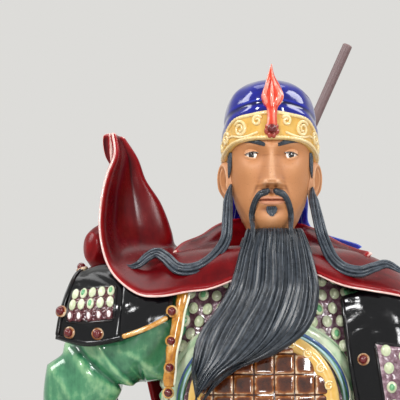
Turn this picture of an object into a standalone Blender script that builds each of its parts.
"""Glazed stoneware statue of a standing armoured general, with a pole weapon behind the back.

Metres, +Z up. The figure faces -Y and its right arm is at -X. The origin is the middle of
the plinth's underside. The fired clay is one hollow piece; the pole and the blade are
separate and are held in its right fist.
"""

import math

import bmesh
import bpy
import numpy as np
from mathutils import Matrix, Vector

# Plinth and clay
PLINTH_LENGTH = 0.250
PLINTH_DEPTH = 0.180
PLINTH_HEIGHT = 0.040
PLINTH_EDGE = 0.004
CLAY_WALL = 0.010
VENT_DIAMETER = 0.024
VENT_SETBACK = 0.040
OVERLAP = 0.003
ROOT = 0.012

# Robe and torso
HEM_WIDTH = 0.168
HEM_DEPTH = 0.112
HEM_FOLD = 0.0045
FOLD_COUNT = 9
APRON_LEVEL = 0.070
GUARD_LEVEL = 0.168
PANEL_STAND = 0.0025
BELT_LEVEL = 0.333
BELT_WIDTH = 0.128
BELT_DEPTH = 0.096
BELT_HEIGHT = 0.020
BELT_THICKNESS = 0.0045
BELLY_LEVEL = 0.383
BELLY_WIDTH = 0.130
BELLY_DEPTH = 0.104
SHOULDER_LEVEL = 0.455
SHOULDER_WIDTH = 0.112
SHOULDER_DEPTH = 0.078
TORSO_SHIFT = -0.006

# Belly plate
PLATE_DIAMETER = 0.092
PLATE_BULGE = 0.010
RIM_THICKNESS = 0.006
TILE_PITCH = 0.0137
TILE_GAP = 0.0022
TILE_RISE = 0.0016

# Head, cap and ornament
CHIN_RISE = 0.049
HEAD_WIDTH = 0.060
HEAD_DEPTH = 0.076
HEAD_HEIGHT = 0.098
NECK_DIAMETER = 0.038
CAP_SWELL = 0.0035
BAND_THICKNESS = 0.004
STONE_DIAMETER = 0.0075
FLAME_LENGTH = 0.030
FLAME_WIDTH = 0.0155
FLAME_THICKNESS = 0.008

# Hair
BEARD_THICKNESS = 0.021
LOCK_WIDTH = 0.0075
LOCK_THICKNESS = 0.0050

# Cape and armour
CAPE_THICKNESS = 0.0045
CAPE_FOLD = 0.0035
COLLAR_THICKNESS = 0.0040
PAD_THICKNESS = 0.0050
ARMOUR_THICKNESS = 0.0040
TRIM_THICKNESS = 0.0050
BEAD_DIAMETER = 0.0072
BOSS_LENGTH = 0.0074
BOSS_RISE = 0.0026

# Arms
SLEEVE_DIAMETER = 0.066
CUFF_DIAMETER = 0.030
FIST_WIDTH = 0.028

# Pole weapon
POLE_DIAMETER = 0.0072
POLE_ABOVE_FIST = 0.358
POLE_BELOW_FIST = 0.118
POLE_LEAN = 0.447
POLE_TILT = 0.098
POLE_FIT = 0.0003
SOCKET_DIAMETER = 0.0125
SOCKET_LENGTH = 0.022
SOCKET_GRIP = 0.016
BLADE_LENGTH = 0.118
BLADE_WIDTH = 0.034
BLADE_THICKNESS = 0.0045

COLOURS = {
    "red_glaze": (0.16, 0.008, 0.012, 0.18, 0.0),
    "blue_glaze": (0.006, 0.012, 0.16, 0.12, 0.0),
    "green_glaze": (0.05, 0.22, 0.10, 0.20, 0.0),
    "gold_glaze": (0.60, 0.38, 0.10, 0.28, 0.0),
    "orange_glaze": (0.60, 0.08, 0.03, 0.20, 0.0),
    "black_glaze": (0.018, 0.020, 0.026, 0.15, 0.0),
    "brown_glaze": (0.07, 0.025, 0.012, 0.12, 0.0),
    "pale_glaze": (0.50, 0.60, 0.40, 0.20, 0.0),
    "bare_clay": (0.42, 0.20, 0.09, 0.60, 0.0),
    "slate_slip": (0.055, 0.065, 0.080, 0.45, 0.0),
    "pole_wood": (0.12, 0.065, 0.065, 0.50, 0.0),
    "blade_metal": (0.45, 0.46, 0.48, 0.35, 1.0),
}

CHIN_LEVEL = SHOULDER_LEVEL + CHIN_RISE
# The hand-placed tables are in millimetres on a figure 112 wide and 455 high at the shoulders
ACROSS = SHOULDER_WIDTH / 112
UPWARDS = SHOULDER_LEVEL / 455
FIST = Vector((-85 * ACROSS, 56 * ACROSS, SHOULDER_LEVEL - 137 * UPWARDS))


def clear_scene():
    for obj in list(bpy.data.objects):
        bpy.data.objects.remove(obj)


def glaze(name):
    """The Principled material of a finish, made once."""
    if name in bpy.data.materials:
        return bpy.data.materials[name]
    red, green, blue, roughness, metallic = COLOURS[name]
    material = bpy.data.materials.new(name)
    material.use_nodes = True
    shader = material.node_tree.nodes["Principled BSDF"]
    shader.inputs["Base Color"].default_value = (red, green, blue, 1.0)
    shader.inputs["Roughness"].default_value = roughness
    shader.inputs["Metallic"].default_value = metallic
    material.diffuse_color = (red, green, blue, 1.0)
    return material


def form(name, mesh_data, material, collection):
    """Links a mesh as an object in a collection. Forms of the clay are helpers that a union reads."""
    mesh = bpy.data.meshes.new(name)
    mesh_data.to_mesh(mesh)
    mesh_data.free()
    mesh.materials.append(glaze(material))
    obj = bpy.data.objects.new(name, mesh)
    collection.objects.link(obj)
    if collection.name != PRODUCT:
        obj.hide_render = True
        obj.display_type = "WIRE"
    return obj


def through(points, count, closed=False):
    """Catmull-Rom curve through the points of the first axis, sampled at an even parameter."""
    points = np.asarray(points, float)
    total = len(points)
    if closed:
        place = np.linspace(0, total, count, endpoint=False)
        before = np.floor(place).astype(int)
        near = [points[(before + step) % total] for step in (-1, 0, 1, 2)]
    else:
        place = np.linspace(0, total - 1, count)
        before = np.minimum(np.floor(place).astype(int), total - 2)
        first = 2 * points[:1] - points[1:2]
        last = 2 * points[-1:] - points[-2:-1]
        padded = np.concatenate([first, points, last])
        near = [padded[before + step] for step in (0, 1, 2, 3)]
    part = (place - before).reshape(-1, *[1] * (points.ndim - 1))
    a, b, c, d = near
    return b + 0.5 * part * (c - a + part * (2 * a - 5 * b + 4 * c - d + part * (3 * (b - c) + d - a)))


def net(controls, rows, columns):
    """Surface through a net of control points, as rows x columns x 3."""
    across = np.swapaxes(through(np.swapaxes(np.asarray(controls, float), 0, 1), columns), 0, 1)
    return through(across, rows)


def sheet(name, controls, rows, columns, thickness, material, collection, root=None):
    """A wall along the surface through a control net. Its back half is thickness / 2 deep, or root."""
    grid = net(controls, rows, columns)
    normal = np.cross(np.gradient(grid, axis=0), np.gradient(grid, axis=1))
    normal /= np.linalg.norm(normal, axis=2, keepdims=True)
    away = (grid - [0.0, 0.0, grid[:, :, 2].mean()]) * [1.0, 1.0, 0.0]
    normal *= np.sign((normal * away).sum())
    outer = grid + thickness / 2 * normal
    inner = grid - (root or thickness / 2) * normal
    mesh = bmesh.new()
    front = [[mesh.verts.new(point) for point in row] for row in outer]
    back = [[mesh.verts.new(point) for point in row] for row in inner]
    for side in (front, back):
        for i in range(rows - 1):
            for j in range(columns - 1):
                mesh.faces.new((side[i][j], side[i][j + 1], side[i + 1][j + 1], side[i + 1][j]))
    border = [(0, j) for j in range(columns)] + [(i, columns - 1) for i in range(1, rows)]
    border += [(rows - 1, j) for j in range(columns - 2, -1, -1)]
    border += [(i, 0) for i in range(rows - 2, 0, -1)]
    for (a, b), (c, d) in zip(border, border[1:] + border[:1]):
        mesh.faces.new((front[a][b], front[c][d], back[c][d], back[a][b]))
    bmesh.ops.recalc_face_normals(mesh, faces=mesh.faces)
    return form(name, mesh, material, collection)


def loft(name, rings, material, collection):
    """A closed solid through rings of equal point counts, with a fan over each end."""
    mesh = bmesh.new()
    loops = [[mesh.verts.new(point) for point in ring] for ring in rings]
    around = len(loops[0])
    for low, high in zip(loops, loops[1:]):
        for i in range(around):
            j = (i + 1) % around
            mesh.faces.new((low[i], low[j], high[j], high[i]))
    for end, loop in ((rings[0], loops[0]), (rings[-1], loops[-1])):
        hub = mesh.verts.new(np.mean(np.asarray(end), axis=0))
        for i in range(around):
            mesh.faces.new((loop[i], loop[(i + 1) % around], hub))
    bmesh.ops.recalc_face_normals(mesh, faces=mesh.faces)
    return form(name, mesh, material, collection)


def oval(centre, half_width, front, back, around, fold=0.0, folds=0):
    """A level ring: half_width to each side, front and back its depths, with cosine folds."""
    turn = np.linspace(0, 2 * math.pi, around, endpoint=False)
    swell = 1 + fold / half_width * np.cos(folds * turn)
    depth = np.where(np.sin(turn) < 0, front, back)
    x = centre[0] + half_width * swell * np.cos(turn)
    y = centre[1] + depth * swell * np.sin(turn)
    return np.stack([x, y, np.full(around, centre[2])], axis=1)


def swept(path, widths, depths, around, facing=(0, -1, 0)):
    """Oval rings square to a path. Depths are measured towards facing, widths across it."""
    path = np.asarray(path, float)
    along = np.gradient(path, axis=0)
    along /= np.linalg.norm(along, axis=1, keepdims=True)
    side = np.cross(along, np.asarray(facing, float))
    side /= np.linalg.norm(side, axis=1, keepdims=True)
    out = np.cross(side, along)
    turn = np.linspace(0, 2 * math.pi, around, endpoint=False)
    widths = np.asarray(widths, float)[:, None, None] / 2
    depths = np.asarray(depths, float)[:, None, None] / 2
    across = widths * np.cos(turn)[None, :, None] * side[:, None, :]
    return path[:, None, :] + across + depths * np.sin(turn)[None, :, None] * out[:, None, :]


def ball(name, centre, size, material, collection, segments=8, rings=6, turn=None):
    """An ellipsoid of the given full size, turned by an optional matrix."""
    mesh = bmesh.new()
    place = Matrix.Translation(centre) @ (turn or Matrix.Identity(4)) @ Matrix.Diagonal((*size, 1.0))
    bmesh.ops.create_uvsphere(mesh, u_segments=segments, v_segments=rings, radius=0.5, matrix=place)
    return form(name, mesh, material, collection)


def rod(name, start, end, diameter, material, collection, sides=16, end_diameter=None):
    """A round bar between two points."""
    start, end = Vector(start), Vector(end)
    mesh = bmesh.new()
    turn = Vector((0, 0, 1)).rotation_difference(end - start).to_matrix().to_4x4()
    bmesh.ops.create_cone(
        mesh,
        cap_ends=True,
        segments=sides,
        radius1=diameter / 2,
        radius2=(end_diameter or diameter) / 2,
        depth=(end - start).length,
        matrix=Matrix.Translation((start + end) / 2) @ turn,
    )
    return form(name, mesh, material, collection)


def at_shoulder(rows):
    """Points of the hand-placed tables, which count upwards from the shoulder level."""
    return np.asarray(rows, float) * [ACROSS, ACROSS, UPWARDS] + np.array([0.0, 0.0, SHOULDER_LEVEL])


def on_head(rows):
    """Points written in half widths, half depths and heights of the head above the chin."""
    scale = np.array([HEAD_WIDTH / 2, HEAD_DEPTH / 2, HEAD_HEIGHT])
    return np.asarray(rows, float) * scale + np.array([0.0, 0.0, CHIN_LEVEL])


def body_levels():
    """Level, half width, front depth and back depth of the robe and torso, from the ground up."""
    belt_half, belly_half, shoulder_half = BELT_WIDTH / 2, BELLY_WIDTH / 2, SHOULDER_WIDTH / 2
    hem_half, hem_deep = HEM_WIDTH / 2, HEM_DEPTH / 2
    belt_deep, belly_deep, shoulder_deep = BELT_DEPTH / 2, BELLY_DEPTH / 2, SHOULDER_DEPTH / 2
    stride = BELT_LEVEL - PLINTH_HEIGHT
    chest = BELLY_LEVEL + 0.62 * (SHOULDER_LEVEL - BELLY_LEVEL)
    return [
        (PLINTH_HEIGHT - OVERLAP, hem_half, hem_deep, hem_deep, HEM_FOLD),
        (PLINTH_HEIGHT + 0.12 * stride, 0.97 * hem_half, 0.97 * hem_deep, 0.97 * hem_deep, HEM_FOLD),
        (PLINTH_HEIGHT + 0.45 * stride, 0.92 * hem_half, 0.95 * hem_deep, 0.9 * hem_deep, 0.7 * HEM_FOLD),
        (PLINTH_HEIGHT + 0.8 * stride, 0.84 * hem_half, 0.94 * hem_deep, 0.82 * hem_deep, 0.4 * HEM_FOLD),
        (BELT_LEVEL, belt_half, belt_deep, 0.86 * belt_deep, 0.0),
        ((BELT_LEVEL + BELLY_LEVEL) / 2, belly_half, 1.08 * belly_deep, 0.84 * belly_deep, 0.0),
        (BELLY_LEVEL, belly_half, 1.15 * belly_deep, 0.85 * belly_deep, 0.0),
        (chest, 0.94 * belly_half, 0.92 * belly_deep, 0.88 * belly_deep, 0.0),
        (SHOULDER_LEVEL, shoulder_half, shoulder_deep, 1.08 * shoulder_deep, 0.0),
        (SHOULDER_LEVEL + 0.018, 0.72 * shoulder_half, 0.70 * shoulder_deep, 0.9 * shoulder_deep, 0.0),
        (SHOULDER_LEVEL + 0.030, 0.36 * shoulder_half, 0.45 * shoulder_deep, 0.5 * shoulder_deep, 0.0),
    ]


def body_rings(levels, around, rows, inset=0.0):
    """Rings up the robe and torso. The levels are smoothed, and inset moves the wall inwards."""
    smooth = through(levels, rows)
    rings = []
    for level, half, front, back, fold in smooth:
        lift = (level - PLINTH_HEIGHT) / (BELLY_LEVEL - PLINTH_HEIGHT)
        shift = TORSO_SHIFT * min(1.0, max(0.0, lift))
        centre = (shift, 0.0, level)
        if inset:
            inside = inset + max(0.0, fold)
            rings.append(oval(centre, half - inside, front - inside, back - inside, around))
        else:
            rings.append(oval(centre, half, front, back, around, fold, FOLD_COUNT))
    return rings


def plinth(clay):
    mesh = bmesh.new()
    spread = Matrix.Diagonal((PLINTH_LENGTH, PLINTH_DEPTH, 1, 1))
    place = Matrix.Translation((0, 0, PLINTH_HEIGHT / 2)) @ spread
    bmesh.ops.create_cone(
        mesh, cap_ends=True, segments=28, radius1=0.5, radius2=0.5, depth=PLINTH_HEIGHT, matrix=place
    )
    middle = PLINTH_HEIGHT / 2
    top_edges = [edge for edge in mesh.edges if all(vert.co.z > middle for vert in edge.verts)]
    bmesh.ops.bevel(mesh, geom=top_edges, offset=PLINTH_EDGE, segments=2, affect="EDGES", profile=0.5)
    return form("plinth_form", mesh, "brown_glaze", clay)


def robe_and_torso(clay):
    loft("body_form", body_rings(body_levels(), 36, 9), "green_glaze", clay)
    for side in (-1, 1):
        toe = (side * 0.24 * HEM_WIDTH, -0.56 * HEM_DEPTH, PLINTH_HEIGHT + 0.006)
        ball(f"boot_{side}", toe, (0.040, 0.058, 0.026), "black_glaze", clay, 8, 5)
    rings = []
    half, front, back = BELT_WIDTH / 2, BELT_DEPTH / 2, 0.86 * BELT_DEPTH / 2
    for lift, out in ((-0.55, -0.004), (-0.5, BELT_THICKNESS), (0.5, BELT_THICKNESS), (0.55, -0.004)):
        centre = (TORSO_SHIFT, 0, BELT_LEVEL + lift * BELT_HEIGHT)
        rings.append(oval(centre, half + out, front + out, back + out, 24))
    loft("belt_form", rings, "brown_glaze", clay)


def skirt_panel(name, low, middle, reach, narrowing, columns, material, clay):
    """A flat panel that lies on the robe's front, hung from the belt and slightly narrower there."""
    levels = np.asarray(body_levels())
    rows = []
    for up in (0.0, 0.5, 1.0):
        level = low + (BELT_LEVEL - low) * up
        half, front, fold = (np.interp(level, levels[:, 0], levels[:, k]) for k in (1, 2, 4))
        stand = PANEL_STAND + fold
        lift = (level - PLINTH_HEIGHT) / (BELLY_LEVEL - PLINTH_HEIGHT)
        row = []
        for share in (-1.0, -0.5, 0.0, 0.5, 1.0):
            turn = middle + share * reach * (1 - narrowing * up)
            x = TORSO_SHIFT * lift + (half + stand) * math.cos(turn)
            row.append((x, (front + stand) * math.sin(turn), level))
        rows.append(row)
    sheet(name, rows, 3, columns, ARMOUR_THICKNESS, material, clay, ROOT)


def skirt(clay):
    """An apron and two hip guards, under the belt."""
    front = -math.pi / 2
    skirt_panel("apron_form", APRON_LEVEL, front, 0.46, 0.42, 5, "green_glaze", clay)
    for side in (-1, 1):
        middle = front + side * 1.05
        skirt_panel(f"hip_guard_{side}", GUARD_LEVEL, middle, 0.50, 0.10, 4, "black_glaze", clay)


def belly_front():
    """Front of the torso at the belly's level."""
    return -1.15 * BELLY_DEPTH / 2


def belly_plate(clay):
    """A domed round plate of square tiles with a raised rim, over the belly."""
    radius = PLATE_DIAMETER / 2
    seat = belly_front() + 0.010

    def dome(distance):
        return seat - PLATE_BULGE * (1 - (distance / radius) ** 2) - 0.006

    rings = []
    for share, sink in ((1.0, 0.016), (1.0, 0.0), (0.66, 0.0), (0.25, 0.0)):
        turn = np.linspace(0, 2 * math.pi, 24, endpoint=False)
        y = seat + sink if sink else dome(share * radius)
        x = TORSO_SHIFT + share * radius * np.cos(turn)
        z = BELLY_LEVEL + share * radius * np.sin(turn)
        rings.append(np.stack([x, np.full(24, y), z], axis=1))
    loft("plate_form", rings, "pale_glaze", clay)

    turn = np.linspace(0, 2 * math.pi, 24, endpoint=False)
    ring = []
    for i in range(4):
        angle = 2 * math.pi * i / 4
        out = radius + RIM_THICKNESS / 2 * math.cos(angle)
        y = dome(radius) + RIM_THICKNESS / 2 * math.sin(angle)
        x = TORSO_SHIFT + out * np.cos(turn)
        ring.append(np.stack([x, np.full(24, y), BELLY_LEVEL + out * np.sin(turn)], axis=1))
    mesh = bmesh.new()
    loops = [[mesh.verts.new(point) for point in loop] for loop in ring]
    for i in range(4):
        for j in range(24):
            k, m = (i + 1) % 4, (j + 1) % 24
            mesh.faces.new((loops[i][j], loops[i][m], loops[k][m], loops[k][j]))
    bmesh.ops.recalc_face_normals(mesh, faces=mesh.faces)
    form("rim_form", mesh, "gold_glaze", clay)

    reach = int(radius / TILE_PITCH)
    for column in range(-reach, reach + 1):
        for row in range(-reach, reach + 1):
            x, z = column * TILE_PITCH, row * TILE_PITCH
            far = math.hypot(x, z)
            if far > radius - 0.75 * TILE_PITCH:
                continue
            front = dome(far) - TILE_RISE
            back = dome(far) + 0.004
            size = TILE_PITCH - TILE_GAP
            mesh = bmesh.new()
            centre = (TORSO_SHIFT + x, (front + back) / 2, BELLY_LEVEL + z)
            place = Matrix.Translation(centre) @ Matrix.Diagonal((size, back - front, size, 1))
            bmesh.ops.create_cube(mesh, size=1.0, matrix=place)
            form(f"tile_{column}_{row}", mesh, "brown_glaze", clay)


def sash(clay):
    """The robe's folded opening, an arch round the top of the belly plate that runs down each side."""
    inner, outer = PLATE_DIAMETER / 2 + 0.003, PLATE_DIAMETER / 2 + 0.0155
    rows = []
    for radius, lift in ((inner, 0.004), ((inner + outer) / 2, 0.003), (outer, -0.002)):
        row = []
        for step in range(9):
            angle = math.radians(-50 + 280 * step / 8)
            x = TORSO_SHIFT + radius * math.cos(angle)
            z = BELLY_LEVEL + radius * math.sin(angle)
            share = min(0.98, abs(radius * math.cos(angle)) / (BELLY_WIDTH / 2))
            high = max(0.0, math.sin(angle))
            deep = (1.15 - 0.32 * high**2) * BELLY_DEPTH / 2
            row.append((x, -deep * math.sqrt(1 - share**2) - lift, z))
        rows.append(row)
    sheet("sash_form", rows, 3, 13, ARMOUR_THICKNESS, "pale_glaze", clay, ROOT)


# Outer edge first, then rows inwards to the neck. Each column runs from hem to neck or back.
CAPE_LEFT = [
    [(-20, -47, 15), (-17, -44, 21), (-15, -40, 27), (-14, -36, 32), (-12, -28, 35)],
    [(-41, -50, 7), (-36, -45, 15), (-30, -40, 23), (-26, -33, 30), (-22, -24, 35)],
    [(-58, -50, 4.5), (-52, -45, 14), (-44, -38, 23), (-36, -28, 31), (-28, -16, 35)],
    [(-75.5, -46, 2), (-70, -38, 13), (-61, -28, 23), (-50, -16, 31), (-34, -4, 35)],
    [(-90, -41, 3), (-85, -30, 13), (-76, -16, 23), (-62, -4, 31), (-40, 10, 35)],
    [(-105, -34, 14), (-98, -20, 21), (-86, -6, 27), (-70, 8, 33), (-48, 26, 35)],
    [(-114, -28, 28), (-106, -8, 32), (-92, 4, 35), (-72, 14, 37), (-60, 38, 33)],
    [(-118.5, -21, 48), (-110, 0, 48), (-94, 11, 48), (-71, 19, 47), (-76, 42, 38)],
    [(-117.6, -15, 69), (-110, 5, 68), (-97, 14, 67), (-78, 21, 66), (-88, 40, 56)],
    [(-114, -11, 86), (-108, 5, 85), (-99, 14, 83), (-89, 18, 83), (-94, 33, 74)],
    [(-109, -6, 101), (-106, 4, 101), (-101, 11, 100), (-95, 15, 99), (-98, 25, 94)],
    [(-111, 0, 116), (-110, 3, 116), (-108, 6, 115), (-105, 9, 114), (-106, 13, 111)],
]
CAPE_RIGHT = [
    [(24, -46, 19), (22, -42, 25), (20, -36, 31), (16, -26, 35)],
    [(46, -50, 9), (40, -44, 18), (33, -34, 28), (24, -18, 35)],
    [(66, -46, 5), (58, -38, 16), (46, -26, 28), (30, -8, 35)],
    [(88, -38, 1), (78, -28, 14), (60, -14, 28), (36, 4, 35)],
    [(108, -22, -5), (94, -14, 10), (72, -2, 26), (38, 16, 35)],
    [(118, 0, -12), (102, 6, 6), (76, 14, 24), (34, 28, 35)],
    [(112, 22, -16), (98, 24, 4), (70, 30, 22), (26, 38, 35)],
]
CAPE_BACK = [
    [(-58, 26, 36), (-32, 38, 38), (0, 44, 39), (32, 38, 38), (60, 26, 34)],
    [(-96, 26, 8), (-52, 52, 8), (0, 58, 8), (52, 52, 8), (104, 24, -4)],
    [(-88, 40, -50), (-50, 56, -50), (0, 60, -50), (50, 56, -50), (98, 38, -50)],
    [(-76, 43, -125), (-44, 52, -125), (0, 57, -125), (48, 55, -125), (88, 46, -125)],
    [(-88, 50, -250), (-46, 60, -250), (2, 62, -250), (50, 62, -250), (96, 56, -250)],
    [(-104, 52, -375), (-54, 68, -378), (4, 68, -380), (56, 68, -378), (110, 60, -375)],
]
COLLAR = [
    [
        (-68, -6, 32), (-62, 4, 39), (-49, 18, 45), (-32, 32, 55), (0, 44, 60),
        (34, 34, 49), (48, 20, 40), (60, 7, 34), (71, -8, 31),
    ],
    [
        (-54, -12, 28), (-48, 0, 33), (-40, 12, 38), (-27, 24, 45), (0, 35, 48),
        (28, 26, 42), (40, 14, 35), (50, 0, 30), (58, -14, 26),
    ],
    [
        (-30, -18, 26), (-28, -4, 28), (-24, 8, 30), (-16, 16, 32), (0, 20, 33),
        (16, 16, 32), (24, 8, 30), (28, -4, 28), (32, -18, 26),
    ],
]
CAPE_ROLL = [(-129, 20, 37), (-117, 29, 36), (-98, 36, 32), (-66, 42, 25)]


def cape(clay):
    sheet("cape_left_form", at_shoulder(CAPE_LEFT), 18, 6, CAPE_THICKNESS, "red_glaze", clay)
    sheet("cape_right_form", at_shoulder(CAPE_RIGHT), 11, 6, CAPE_THICKNESS, "red_glaze", clay)
    grid = net(at_shoulder(CAPE_BACK), 6, 15)
    share = np.linspace(0, 1, 6)[:, None]
    grid[:, :, 1] += CAPE_FOLD * share * np.cos(np.linspace(0, 7 * math.pi, 15))[None, :]
    sheet("cape_back_form", grid, 6, 15, CAPE_THICKNESS, "red_glaze", clay)
    sheet("collar_form", at_shoulder(COLLAR), 3, 13, COLLAR_THICKNESS, "red_glaze", clay)
    roll = through(at_shoulder(CAPE_ROLL), 6)
    sizes = through(np.array([16, 38, 42, 24]), 6) * ACROSS
    loft("cape_roll_form", swept(roll, sizes, 0.8 * sizes, 9), "red_glaze", clay)


HEAD_LEVELS = [
    (-0.040, 0.42, 0.66, 0.20),
    (0.000, 0.56, 0.88, 0.36),
    (0.070, 0.72, 0.98, 0.52),
    (0.180, 0.84, 1.00, 0.70),
    (0.320, 0.93, 0.98, 0.84),
    (0.500, 1.00, 0.97, 0.94),
    (0.650, 1.01, 0.99, 1.00),
    (0.800, 0.95, 0.92, 0.98),
    (0.920, 0.74, 0.70, 0.80),
    (0.985, 0.34, 0.32, 0.38),
]


def head(clay):
    """Egg of the head with a plain nose and ears, on a short neck."""
    half, deep = HEAD_WIDTH / 2, HEAD_DEPTH / 2
    rings = [
        oval((0, 0, CHIN_LEVEL + level * HEAD_HEIGHT), wide * half, front * deep, back * deep, 14)
        for level, wide, front, back in through(HEAD_LEVELS, 9)
    ]
    loft("head_form", rings, "bare_clay", clay)
    neck_base = (0, 0.004, SHOULDER_LEVEL - 0.010)
    neck_top = (0, 0.002, CHIN_LEVEL + 0.2 * HEAD_HEIGHT)
    rod("neck_form", neck_base, neck_top, NECK_DIAMETER, "bare_clay", clay, 10)
    nose = [(0, -0.94, 0.53), (0, -1.04, 0.44), (0, -1.15, 0.35), (0, -1.14, 0.30), (0, -0.90, 0.27)]
    nose = through(on_head(nose), 6)
    widths = HEAD_WIDTH * through(np.array([0.10, 0.13, 0.20, 0.24, 0.16]), 6)
    loft("nose_form", swept(nose, widths, 0.10 * HEAD_DEPTH * np.ones(6), 6), "bare_clay", clay)
    for side in (-1, 1):
        centre = on_head([(side * 1.05, -0.02, 0.34)])[0]
        ball(f"ear_{side}", centre, (0.007, 0.014, 0.29 * HEAD_HEIGHT), "bare_clay", clay, 6, 4)
        eye = on_head([(side * 0.42, -0.90, 0.50)])[0]
        eye_size = (0.22 * HEAD_WIDTH, 0.007, 0.055 * HEAD_HEIGHT)
        ball(f"eye_{side}", eye, eye_size, "bare_clay", clay, 6, 4)
        brow = [(side * 0.16, -1.02, 0.575), (side * 0.42, -1.00, 0.610), (side * 0.72, -0.78, 0.590)]
        rings = swept(through(on_head(brow), 5), [0.004, 0.006, 0.006, 0.005, 0.002], [0.004] * 5, 6)
        loft(f"brow_{side}", rings, "slate_slip", clay)


# Level at the front and at the back, the ring's spread and its share of the swell, up the cap
CAP_LEVELS = [
    (0.565, 0.250, 0.97, 0.0),
    (0.760, 0.420, 0.98, 1.0),
    (0.865, 0.600, 0.975, 1.0),
    (0.925, 0.740, 0.93, 0.9),
    (0.985, 0.860, 0.83, 0.8),
    (1.020, 0.960, 0.56, 0.6),
    (1.035, 1.020, 0.22, 0.3),
]


CAP_DRAPE = [
    [(-0.80, 0.62, 0.50), (-0.45, 0.98, 0.50), (0, 1.10, 0.50), (0.45, 0.98, 0.50), (0.80, 0.62, 0.50)],
    [(-0.88, 0.76, 0.22), (-0.50, 1.06, 0.22), (0, 1.16, 0.22), (0.50, 1.06, 0.22), (0.88, 0.76, 0.22)],
    [(-1.0, 1.12, 0.0), (-0.6, 1.36, 0.0), (0, 1.44, 0.02), (0.6, 1.36, 0.0), (1.0, 1.04, 0.0)],
    [(-1.7, 1.05, -0.15), (-1.0, 1.48, -0.20), (0, 1.66, -0.24), (1.1, 1.46, -0.18), (2.2, 0.80, -0.13)],
]


def cap(clay):
    """A round cloth cap, low at the nape, with a swollen roll above the brow band."""
    rings = []
    turn = np.linspace(0, 2 * math.pi, 16, endpoint=False)
    for front_level, back_level, spread, swell in through(CAP_LEVELS, 7):
        middle = (front_level + back_level) / 2
        tilt = (front_level - back_level) / 2
        x = (spread * HEAD_WIDTH / 2 + swell * CAP_SWELL) * np.cos(turn)
        y = 0.003 + (spread * HEAD_DEPTH / 2 + swell * CAP_SWELL) * np.sin(turn)
        z = CHIN_LEVEL + HEAD_HEIGHT * (middle - tilt * np.sin(turn))
        rings.append(np.stack([x, y, z], axis=1))
    loft("cap_form", rings, "blue_glaze", clay)
    drape = on_head(CAP_DRAPE)
    sheet("cap_drape_form", drape, 5, 7, CAPE_THICKNESS, "blue_glaze", clay, ROOT / 2)


BAND_EDGES = [
    (-100, 0.450, 0.550),
    (-75, 0.510, 0.650),
    (-50, 0.575, 0.765),
    (-25, 0.600, 0.795),
    (0, 0.605, 0.812),
    (25, 0.600, 0.795),
    (50, 0.575, 0.765),
    (75, 0.510, 0.650),
    (100, 0.450, 0.550),
]


def on_brow(angle, level, out=0.0):
    """A point on the outside of the brow band: degrees from the front, and height on the head."""
    turn = math.radians(angle)
    half, deep = HEAD_WIDTH / 2 + 0.4 * CAP_SWELL + out, HEAD_DEPTH / 2 + 0.5 * CAP_SWELL + out
    return (half * math.sin(turn), -deep * math.cos(turn), CHIN_LEVEL + level * HEAD_HEIGHT)


def brow_band(clay):
    """A shaped band round the forehead with four raised scrolls."""
    rows = [
        [on_brow(angle, low + share * (high - low)) for angle, low, high in BAND_EDGES]
        for share in (0.0, 0.5, 1.0)
    ]
    sheet("band_form", rows, 3, 15, BAND_THICKNESS, "gold_glaze", clay, ROOT / 2)
    for side in (-1, 1):
        for angle, level, size in ((42, 0.682, 0.048), (17, 0.725, 0.036)):
            path = []
            for step in range(6):
                turn = 2 * math.pi * 1.1 * step / 5
                reach = size * (1 - 0.70 * step / 5)
                wide = math.degrees(reach * HEAD_HEIGHT / (HEAD_DEPTH / 2))
                place = side * (angle + wide * math.cos(turn))
                path.append(on_brow(place, level + reach * math.sin(turn), 0.0022))
            rings = swept(path, [0.0028] * 6, [0.0028] * 6, 4)
            loft(f"scroll_{side}_{angle}", rings, "gold_glaze", clay)


def flame(clay):
    """A stone in a cup on the brow, with a stem up to a leaf-shaped flame."""
    front = -(HEAD_DEPTH / 2 + 0.5 * CAP_SWELL)
    seat = CHIN_LEVEL + 0.690 * HEAD_HEIGHT
    cup = (0, front - 0.002, seat - 0.003)
    ball("stone_cup", cup, (0.013, 0.009, 0.011), "orange_glaze", clay, 8, 6)
    ball("stone", (0, front - 0.006, seat), (STONE_DIAMETER,) * 3, "brown_glaze", clay, 8, 6)
    leaf_base = seat + 0.014
    path = [(0, front - 0.004, seat), (0, front - 0.005, seat + 0.007), (0, front - 0.003, leaf_base)]
    widths = [0.0085, 0.0070, 0.0075]
    depths = [0.0060, 0.0060, 0.0070]
    leaf = ((0.12, 0.80), (0.28, 1.0), (0.50, 0.72), (0.75, 0.36), (0.93, 0.14), (1.0, 0.04))
    for share, wide in leaf:
        path.append((0, front - 0.003 + 0.006 * share, leaf_base + share * FLAME_LENGTH))
        widths.append(wide * FLAME_WIDTH)
        depths.append(max(0.25, wide) * FLAME_THICKNESS if share < 1 else 0.0008)
    loft("flame_form", swept(path, widths, depths, 8), "orange_glaze", clay)


# Left edge's x and z, right edge's x and z, and the front of the hair, down the beard
BEARD_EDGES = [
    (-16.5, 47, 21, 47, -36),
    (-18.5, 41, 23, 42, -43),
    (-22.6, 28, 25.5, 34, -51),
    (-25.4, 16, 28, 22, -57),
    (-29.2, 4, 29.7, 10, -62),
    (-36.3, -9, 28.9, -1, -65),
    (-45.3, -22, 25.7, -13, -69),
    (-50.8, -34, 18.0, -24, -73),
    (-52.8, -44, 2.2, -34, -76),
    (-53.5, -52, -20.2, -43, -77),
    (-52.5, -59, -37.2, -55, -77),
    (-50.5, -64.5, -47.5, -63, -77),
]


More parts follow.
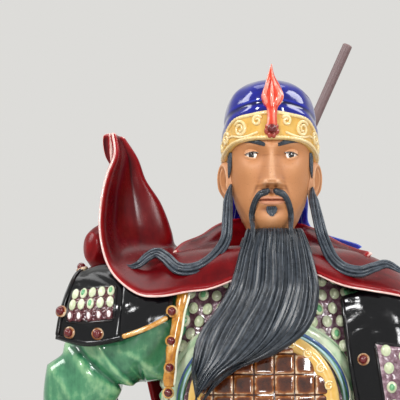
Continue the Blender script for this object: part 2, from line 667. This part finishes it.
def beard(clay):
    """A thick fall of hair that leans to the figure's right and ends in a point, with grooves."""
    edges = through(BEARD_EDGES, 12) * [ACROSS, UPWARDS, ACROSS, UPWARDS, ACROSS]
    around = 18
    turn = np.linspace(0, 2 * math.pi, around, endpoint=False)
    rings = []
    for row, (left_x, left_z, right_x, right_z, front) in enumerate(edges):
        left = np.array([left_x, 0, left_z])
        right = np.array([right_x, 0, right_z])
        reach = np.cos(turn)[:, None] * (right - left) / 2
        full = min(1.0, np.linalg.norm(right - left) / 0.030)
        groove = 1 + 0.10 * full * np.cos(9 * turn) * (row > 0)
        deep = 0.5 * BEARD_THICKNESS * (0.55 + 0.45 * full) * np.sin(turn) * groove
        ring = (left + right) / 2 + reach
        ring[:, 1] = front + 0.5 * BEARD_THICKNESS * (0.55 + 0.45 * full) + deep
        rings.append(ring + np.array([0, 0, SHOULDER_LEVEL]))
    loft("beard_form", rings, "slate_slip", clay)


LOCK_LEFT = [
    (-27.5, -11, 79), (-29, -18, 69), (-29.8, -24, 56), (-31.6, -29, 40), (-40.8, -37, 27.4),
    (-52.4, -43, 20.5), (-64, -42, 20.5), (-72.2, -33, 27.4), (-78.4, -26, 30.9), (-84.6, -25, 28.8),
    (-91.4, -26, 23.4), (-98.3, -24, 22.1), (-103.3, -19, 25.6),
]
LOCK_RIGHT = [
    (29, -11, 77), (30, -18, 67), (31.8, -24, 56), (35, -30, 42), (41.1, -39, 27.4), (49, -45, 20.5),
    (59.7, -46, 18.4), (69.4, -42, 21), (78.4, -38, 23), (87.3, -36, 19), (95.6, -32, 15),
]


def hair_locks(clay):
    """Moustache ends and the long side locks that fall from the temples over the cape."""
    for name, points in (("lock_left", LOCK_LEFT), ("lock_right", LOCK_RIGHT)):
        count = len(points)
        taper = through(np.array([0.45, 1.05, 1.15, 1.0, 0.9, 0.8, 0.25]), count)
        path = through(at_shoulder(points), count)
        loft(name, swept(path, LOCK_WIDTH * taper, LOCK_THICKNESS * taper**0.5, 6), "slate_slip", clay)
    for side in (-1, 1):
        path = [(0.05, -1.05, 0.235), (0.28, -1.04, 0.215), (0.50, -0.98, 0.10), (0.60, -0.95, -0.04)]
        path.append((0.62, -1.0, -0.14))
        path = through(on_head(path) * [side, 1, 1], 7)
        widths = through(np.array([0.003, 0.0050, 0.0048, 0.0045, 0.003]), 7)
        loft(f"moustache_{side}", swept(path, widths, [0.0045] * 7, 5), "slate_slip", clay)


def along_arm(points, sizes, count):
    path = through(at_shoulder(points), count)
    widths = through(np.array(sizes), count) * SLEEVE_DIAMETER
    return swept(path, widths, 0.96 * widths, 10, (0.3, -0.9, 0.3))


RIGHT_ARM = [
    (-34, -2, -14), (-56, -3, -17), (-80, -4, -23), (-99, -5, -28), (-112, -5, -37),
    (-119, -4, -52), (-129, 3, -69), (-124, 15, -89), (-111, 32, -107), (-101, 43, -121),
]
RIGHT_SIZES = [0.88, 0.94, 1.0, 0.98, 0.90, 0.80, 0.88, 0.78, 0.64, 0.50]
LEFT_ARM = [
    (34, -2, -14), (58, -3, -22), (80, -4, -38), (96, -4, -62),
    (106, -8, -86), (108, -24, -104), (98, -44, -110), (84, -58, -112),
]
LEFT_SIZES = [0.86, 0.92, 0.92, 0.88, 0.84, 0.78, 0.64, 0.50]


def fist(name, centre, axis, clay):
    """A closed hand round an axis: a palm and four bent fingers."""
    axis = Vector(axis).normalized()
    turn = Vector((0, 0, 1)).rotation_difference(axis).to_matrix().to_4x4()
    palm = (0.84 * FIST_WIDTH, 0.78 * FIST_WIDTH, FIST_WIDTH)
    ball(name, centre, palm, "bare_clay", clay, 8, 4, turn)
    for finger in range(4):
        middle = Vector(centre) + axis * FIST_WIDTH * (0.24 * finger - 0.36)
        size = (0.98 * FIST_WIDTH, 0.92 * FIST_WIDTH, 0.25 * FIST_WIDTH)
        ball(f"{name}_finger_{finger}", middle, size, "bare_clay", clay, 6, 3, turn)


def pole_axis():
    return Vector((POLE_LEAN, POLE_TILT, 1.0)).normalized()


def arms(clay):
    """Gathered sleeves, cuffs and fists. The right fist is behind the hip, the left on the belt."""
    loft("sleeve_right", along_arm(RIGHT_ARM, RIGHT_SIZES, 12), "green_glaze", clay)
    loft("sleeve_left", along_arm(LEFT_ARM, LEFT_SIZES, 9), "green_glaze", clay)
    left_fist = at_shoulder([(64, -66, -112)])[0]
    right_wrist = at_shoulder([(-107, 35, -111)])[0]
    left_wrist = at_shoulder([(96, -52, -112)])[0]
    narrow = 0.8 * CUFF_DIAMETER
    for name, start, end in (("right", right_wrist, FIST), ("left", left_wrist, left_fist)):
        rod(f"cuff_{name}", start, end, CUFF_DIAMETER, "black_glaze", clay, 12, narrow)
    fist("fist_right", FIST, pole_axis(), clay)
    fist("fist_left", left_fist, (0.25, -0.1, 1.0), clay)


PAD_RIGHT_ARM = [
    [(-128, 14, 11), (-131, -4, 17), (-137, -20, 11), (-144, -29, -8), (-148, -31, -28)],
    [(-116, 16, 17), (-118, -4, 21), (-121, -24, 13), (-125, -37, -7), (-127, -40, -33)],
    [(-101, 16, 19), (-102, -4, 22), (-103, -27, 14), (-104, -41, -5), (-106, -43, -30)],
    [(-84, 14, 20), (-84, -6, 22), (-84, -29, 13), (-85, -43, -4), (-86, -46, -23)],
    [(-66, 12, 18), (-66, -8, 18), (-66, -30, 9), (-67, -42, -3), (-69, -46, -14)],
]
PAD_LEFT_ARM = [
    [(47, -34, 1), (48, -40, -15), (51, -43, -40), (56, -42, -70), (58, -40, -88)],
    [(65, -38, 5), (69, -44, -15), (74, -49, -43), (79, -48, -75), (82, -45, -96)],
    [(84, -32, 6), (92, -40, -17), (98, -44, -47), (104, -44, -80), (107, -41, -100)],
    [(102, -16, 3), (114, -22, -21), (120, -26, -51), (126, -26, -83), (128, -24, -102)],
    [(112, 4, -5), (124, 2, -29), (131, 0, -57), (136, 0, -87), (138, 0, -104)],
]


def beads_along(name, points, clay):
    for index, centre in enumerate(points):
        ball(f"{name}_bead_{index}", centre, (BEAD_DIAMETER,) * 3, "orange_glaze", clay, 5, 3)


def bosses(name, grid, clay):
    """Raised oval scales at the points of a grid, each standing on the surface behind it."""
    flat = grid.reshape(-1, 3)
    for index, centre in enumerate(flat):
        size = (0.78 * BOSS_LENGTH, 2 * BOSS_RISE, BOSS_LENGTH)
        ball(f"{name}_boss_{index}", centre, size, "pale_glaze", clay, 6, 2)


def shoulder_pads(clay):
    """Curved guards over both upper arms, each with a panel of scales and beads round its edge."""
    half = np.array([0, PAD_THICKNESS / 2, 0])
    right_edge = ((1, 3), (1, 10), (2, 15), (5, 15), (13, 15))
    left_edge = ((1, 2), (2, 8), (2, 12), (7, 15), (13, 15))
    for name, controls, panel_rows, panel_columns, edge in (
        ("pad_right", PAD_RIGHT_ARM, slice(1, 9), slice(8, 14), right_edge),
        ("pad_left", PAD_LEFT_ARM, slice(3, 13), slice(7, 14), left_edge),
    ):
        placed = at_shoulder(controls)
        sheet(f"{name}_form", placed, 6, 6, PAD_THICKNESS, "black_glaze", clay)
        grid = net(placed, 15, 17) - half
        beads_along(name, [grid[row, column] for row, column in edge], clay)
        bosses(name, grid[panel_rows, panel_columns][::2, ::2], clay)


def torso_front(x, level):
    """Depth of the robe and torso's front surface at a place."""
    levels = np.asarray(body_levels())
    half = np.interp(level, levels[:, 0], levels[:, 1])
    front = np.interp(level, levels[:, 0], levels[:, 2])
    share = min(0.99, abs(x - TORSO_SHIFT) / half)
    return -front * math.sqrt(1 - share**2)


def chest_armour(clay):
    """Rows of jewels on the breast between cape and belly plate, and the armholes' beaded trim."""
    for side in (-1, 1):
        row = []
        for step in range(6):
            level = SHOULDER_LEVEL - 0.004 - 0.0135 * step
            x = TORSO_SHIFT + side * (BELLY_WIDTH / 2 - 0.005)
            row.append((x, torso_front(x, level) - 0.0015, level))
        rings = swept(row, [1.4 * TRIM_THICKNESS] * 6, [1.6 * TRIM_THICKNESS] * 6, 5)
        loft(f"armhole_trim_{side}", rings, "gold_glaze", clay)
        beads = [point + np.array([0, -0.75 * TRIM_THICKNESS, 0]) for point in np.asarray(row)[0:6:2]]
        beads_along(f"trim_{side}", beads, clay)
        jewels = []
        for line in range(3):
            for place in range(3 - line):
                x = TORSO_SHIFT + side * (BELLY_WIDTH / 2 - 0.018 + 0.0035 * line - 0.0115 * place)
                level = SHOULDER_LEVEL - 0.008 - 0.0125 * line
                jewels.append((x, torso_front(x, level), level))
        bosses(f"chest_{side}", np.asarray(jewels), clay)


def weapon_places():
    """The pole's top, its lower end and the blade's tip, along one straight line through the fist."""
    axis = pole_axis()
    top = FIST + axis * POLE_ABOVE_FIST
    low = FIST - axis * POLE_BELOW_FIST
    tip = low + axis * SOCKET_GRIP - axis * (SOCKET_LENGTH + BLADE_LENGTH)
    return axis, top, low, tip


def weapon(product, cutters):
    """A plain round pole, and a curved single-edged blade with a socket for the pole."""
    axis, top, low, tip = weapon_places()
    pole = rod("pole", low, top, POLE_DIAMETER, "pole_wood", product, 20)
    pole.data.shade_smooth()
    pole.data.set_sharp_from_angle(angle=math.radians(40))
    mouth = low + axis * SOCKET_GRIP
    base = mouth - axis * SOCKET_LENGTH
    neck = base - axis * 0.004
    narrow = 0.9 * SOCKET_DIAMETER
    socket = rod("socket_form", neck, mouth, narrow, "blade_metal", cutters, 16, SOCKET_DIAMETER)
    across = axis.cross(Vector((0, -1, 0))).normalized()
    out = across.cross(axis).normalized()
    spine, edge = [], []
    for step in range(9):
        share = step / 8
        curve = math.sin(math.pi * min(1.0, share * 0.94 + 0.06)) ** 0.8
        spine.append((share, 0.10 + 0.28 * share**2 + 0.16 * math.sin(math.pi * share)))
        edge.append((share, -0.12 - 0.88 * curve * (1 - 0.35 * share)))
    edge[-1] = spine[-1]
    # Four lines of corners run down the blade: spine and edge, on its front and its back
    blade = bmesh.new()
    loops = []
    for (share, high), (_, low_reach) in zip(spine, edge):
        loop = []
        corners = ((high, -1, 1.0), (high, 1, 1.0), (low_reach, 1, 0.25), (low_reach, -1, 0.25))
        for reach, side, weight in corners:
            thick = side * weight * BLADE_THICKNESS / 2 * (1 - 0.6 * share)
            along = base - axis * share * BLADE_LENGTH
            loop.append(blade.verts.new(along + across * reach * BLADE_WIDTH + out * thick))
        loops.append(loop)
    for upper, lower in zip(loops, loops[1:]):
        for i in range(4):
            j = (i + 1) % 4
            blade.faces.new((upper[i], upper[j], lower[j], lower[i]))
    blade.faces.new(loops[0])
    blade.faces.new(loops[-1])
    bmesh.ops.recalc_face_normals(blade, faces=blade.faces)
    made = form("blade", blade, "blade_metal", product)
    combine(made, socket, "UNION", "EXACT")
    bore_size = POLE_DIAMETER + 2 * POLE_FIT
    start, end = low - axis * POLE_FIT, mouth + axis * 0.010
    hole = rod("socket_hole", start, end, bore_size, "blade_metal", cutters, 20)
    combine(made, hole, "DIFFERENCE", "EXACT")
    return rod("fist_bore", low, top, bore_size, "bare_clay", cutters, 16)


def combine(obj, other, operation, solver):
    modifier = obj.modifiers.new(other.name, "BOOLEAN")
    modifier.operation = operation
    modifier.object = other
    modifier.solver = solver
    modifier.material_mode = "TRANSFER"


def hollow(cutters):
    """The space inside robe and torso that the clay wall leaves, and the vent through the floor."""
    wide, deep = PLINTH_LENGTH / 2 - CLAY_WALL, PLINTH_DEPTH / 2 - CLAY_WALL
    foot = [
        oval((0, 0, level), wide, deep, deep, 12)
        for level in (CLAY_WALL, PLINTH_HEIGHT - CLAY_WALL)
    ]
    levels = body_levels()[:-2]
    start = (PLINTH_HEIGHT - CLAY_WALL + 0.0005, *levels[0][1:])
    rings = foot + body_rings([start, *levels[1:]], 12, 5, CLAY_WALL)
    core = loft("core", rings, "bare_clay", cutters)
    below, above = (0, VENT_SETBACK, -CLAY_WALL), (0, VENT_SETBACK, 2 * CLAY_WALL)
    vent = rod("vent", below, above, VENT_DIAMETER, "bare_clay", cutters, 16)
    return core, vent


PRODUCT = "product"
# The manifold solver closes the union of all the clay forms, where the exact one leaves open edges
SOLVER = "MANIFOLD"


def collection(name):
    made = bpy.data.collections.new(name)
    bpy.context.scene.collection.children.link(made)
    return made


def build():
    clear_scene()
    product, clay, cutters = collection(PRODUCT), collection("clay_forms"), collection("cutters")
    statue = plinth(product)
    statue.name = "statue"
    robe_and_torso(clay)
    skirt(clay)
    belly_plate(clay)
    sash(clay)
    chest_armour(clay)
    arms(clay)
    shoulder_pads(clay)
    cape(clay)
    head(clay)
    cap(clay)
    brow_band(clay)
    flame(clay)
    beard(clay)
    hair_locks(clay)
    union = statue.modifiers.new("clay", "BOOLEAN")
    union.operation = "UNION"
    union.operand_type = "COLLECTION"
    union.collection = clay
    union.solver = SOLVER
    union.material_mode = "TRANSFER"
    bore = weapon(product, cutters)
    for cutter in (*hollow(cutters), bore):
        combine(statue, cutter, "DIFFERENCE", SOLVER)


build()
